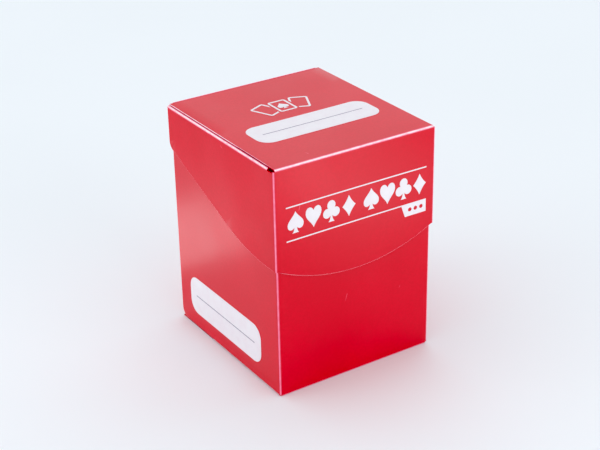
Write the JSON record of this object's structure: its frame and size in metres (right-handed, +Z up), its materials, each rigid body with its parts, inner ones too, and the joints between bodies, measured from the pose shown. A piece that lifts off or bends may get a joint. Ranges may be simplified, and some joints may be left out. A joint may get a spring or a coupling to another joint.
{
  "type": "card deck box",
  "caption": "Folded plastic deck box for trading cards, with a hinged lid that closes outside the body, write-on labels and a loose divider.",
  "frame": {"origin": "middle of the base, on the surface that the box stands on", "axes": "+Z up to the lid, -Y towards the front with the printed band, +X to the right as seen from the front"},
  "size_m": [0.0734, 0.0794, 0.0971],
  "materials": {
    "red_sheet": "satin, fine grain, slightly translucent",
    "creased_sheet": "stress-whitened fold",
    "white_ink": "flat screen print",
    "grey_ink": "flat screen print",
    "divider_sheet": "frosted, translucent"
  },
  "bodies": {
    "box_body": {"back_left_crease": "creased_sheet", "back_panel": "red_sheet", "back_right_crease": "creased_sheet", "bottom_back_crease": "creased_sheet", "bottom_front_crease": "creased_sheet", "bottom_left_crease": "creased_sheet", "bottom_panel": "red_sheet", "bottom_right_crease": "creased_sheet", "front_left_crease": "creased_sheet", "front_panel": "red_sheet", "front_right_crease": "creased_sheet", "left_bottom_tab": "red_sheet", "left_glue_flap": "red_sheet", "left_side_panel": "red_sheet", "lid_hinge_crease": "creased_sheet", "right_bottom_tab": "red_sheet", "right_glue_flap": "red_sheet", "right_side_panel": "red_sheet", "side_label": "white_ink", "side_label_line": "grey_ink"},
    "lid": {"lid_front_crease": "creased_sheet", "lid_front_left_crease": "creased_sheet", "lid_front_panel": "red_sheet", "lid_front_right_crease": "creased_sheet", "lid_left_ear": "red_sheet", "lid_left_tab": "red_sheet", "lid_left_tab_crease": "creased_sheet", "lid_right_ear": "red_sheet", "lid_right_tab": "red_sheet", "lid_right_tab_crease": "creased_sheet", "lid_top_panel": "red_sheet", "front_club_a": "white_ink", "front_club_b": "white_ink", "front_diamond_a": "white_ink", "front_diamond_b": "white_ink", "front_heart_a": "white_ink", "front_heart_b": "white_ink", "front_lower_line": "white_ink", "front_spade_a": "white_ink", "front_spade_b": "white_ink", "front_tag": "white_ink", "front_upper_line": "white_ink", "emblem_left_card": "white_ink", "emblem_middle_card": "white_ink", "emblem_pip": "white_ink", "emblem_right_card": "white_ink", "top_label": "white_ink", "top_label_line": "grey_ink"},
    "divider": {"card_divider": "divider_sheet"}
  },
  "joints": [
    {"name": "lid_hinge", "type": "hinge", "parent": "box_body", "child": "lid", "pos_m": [0, 0.0396, 0.097], "axis": [-1, 0, 0], "range_deg": [0, 268], "deforming": ["lid_hinge_crease"]},
    {"name": "divider_slide", "type": "slide", "parent": "box_body", "child": "divider", "axis": [0, -1, 0], "range_m": [0, 0.0748]}
  ]
}
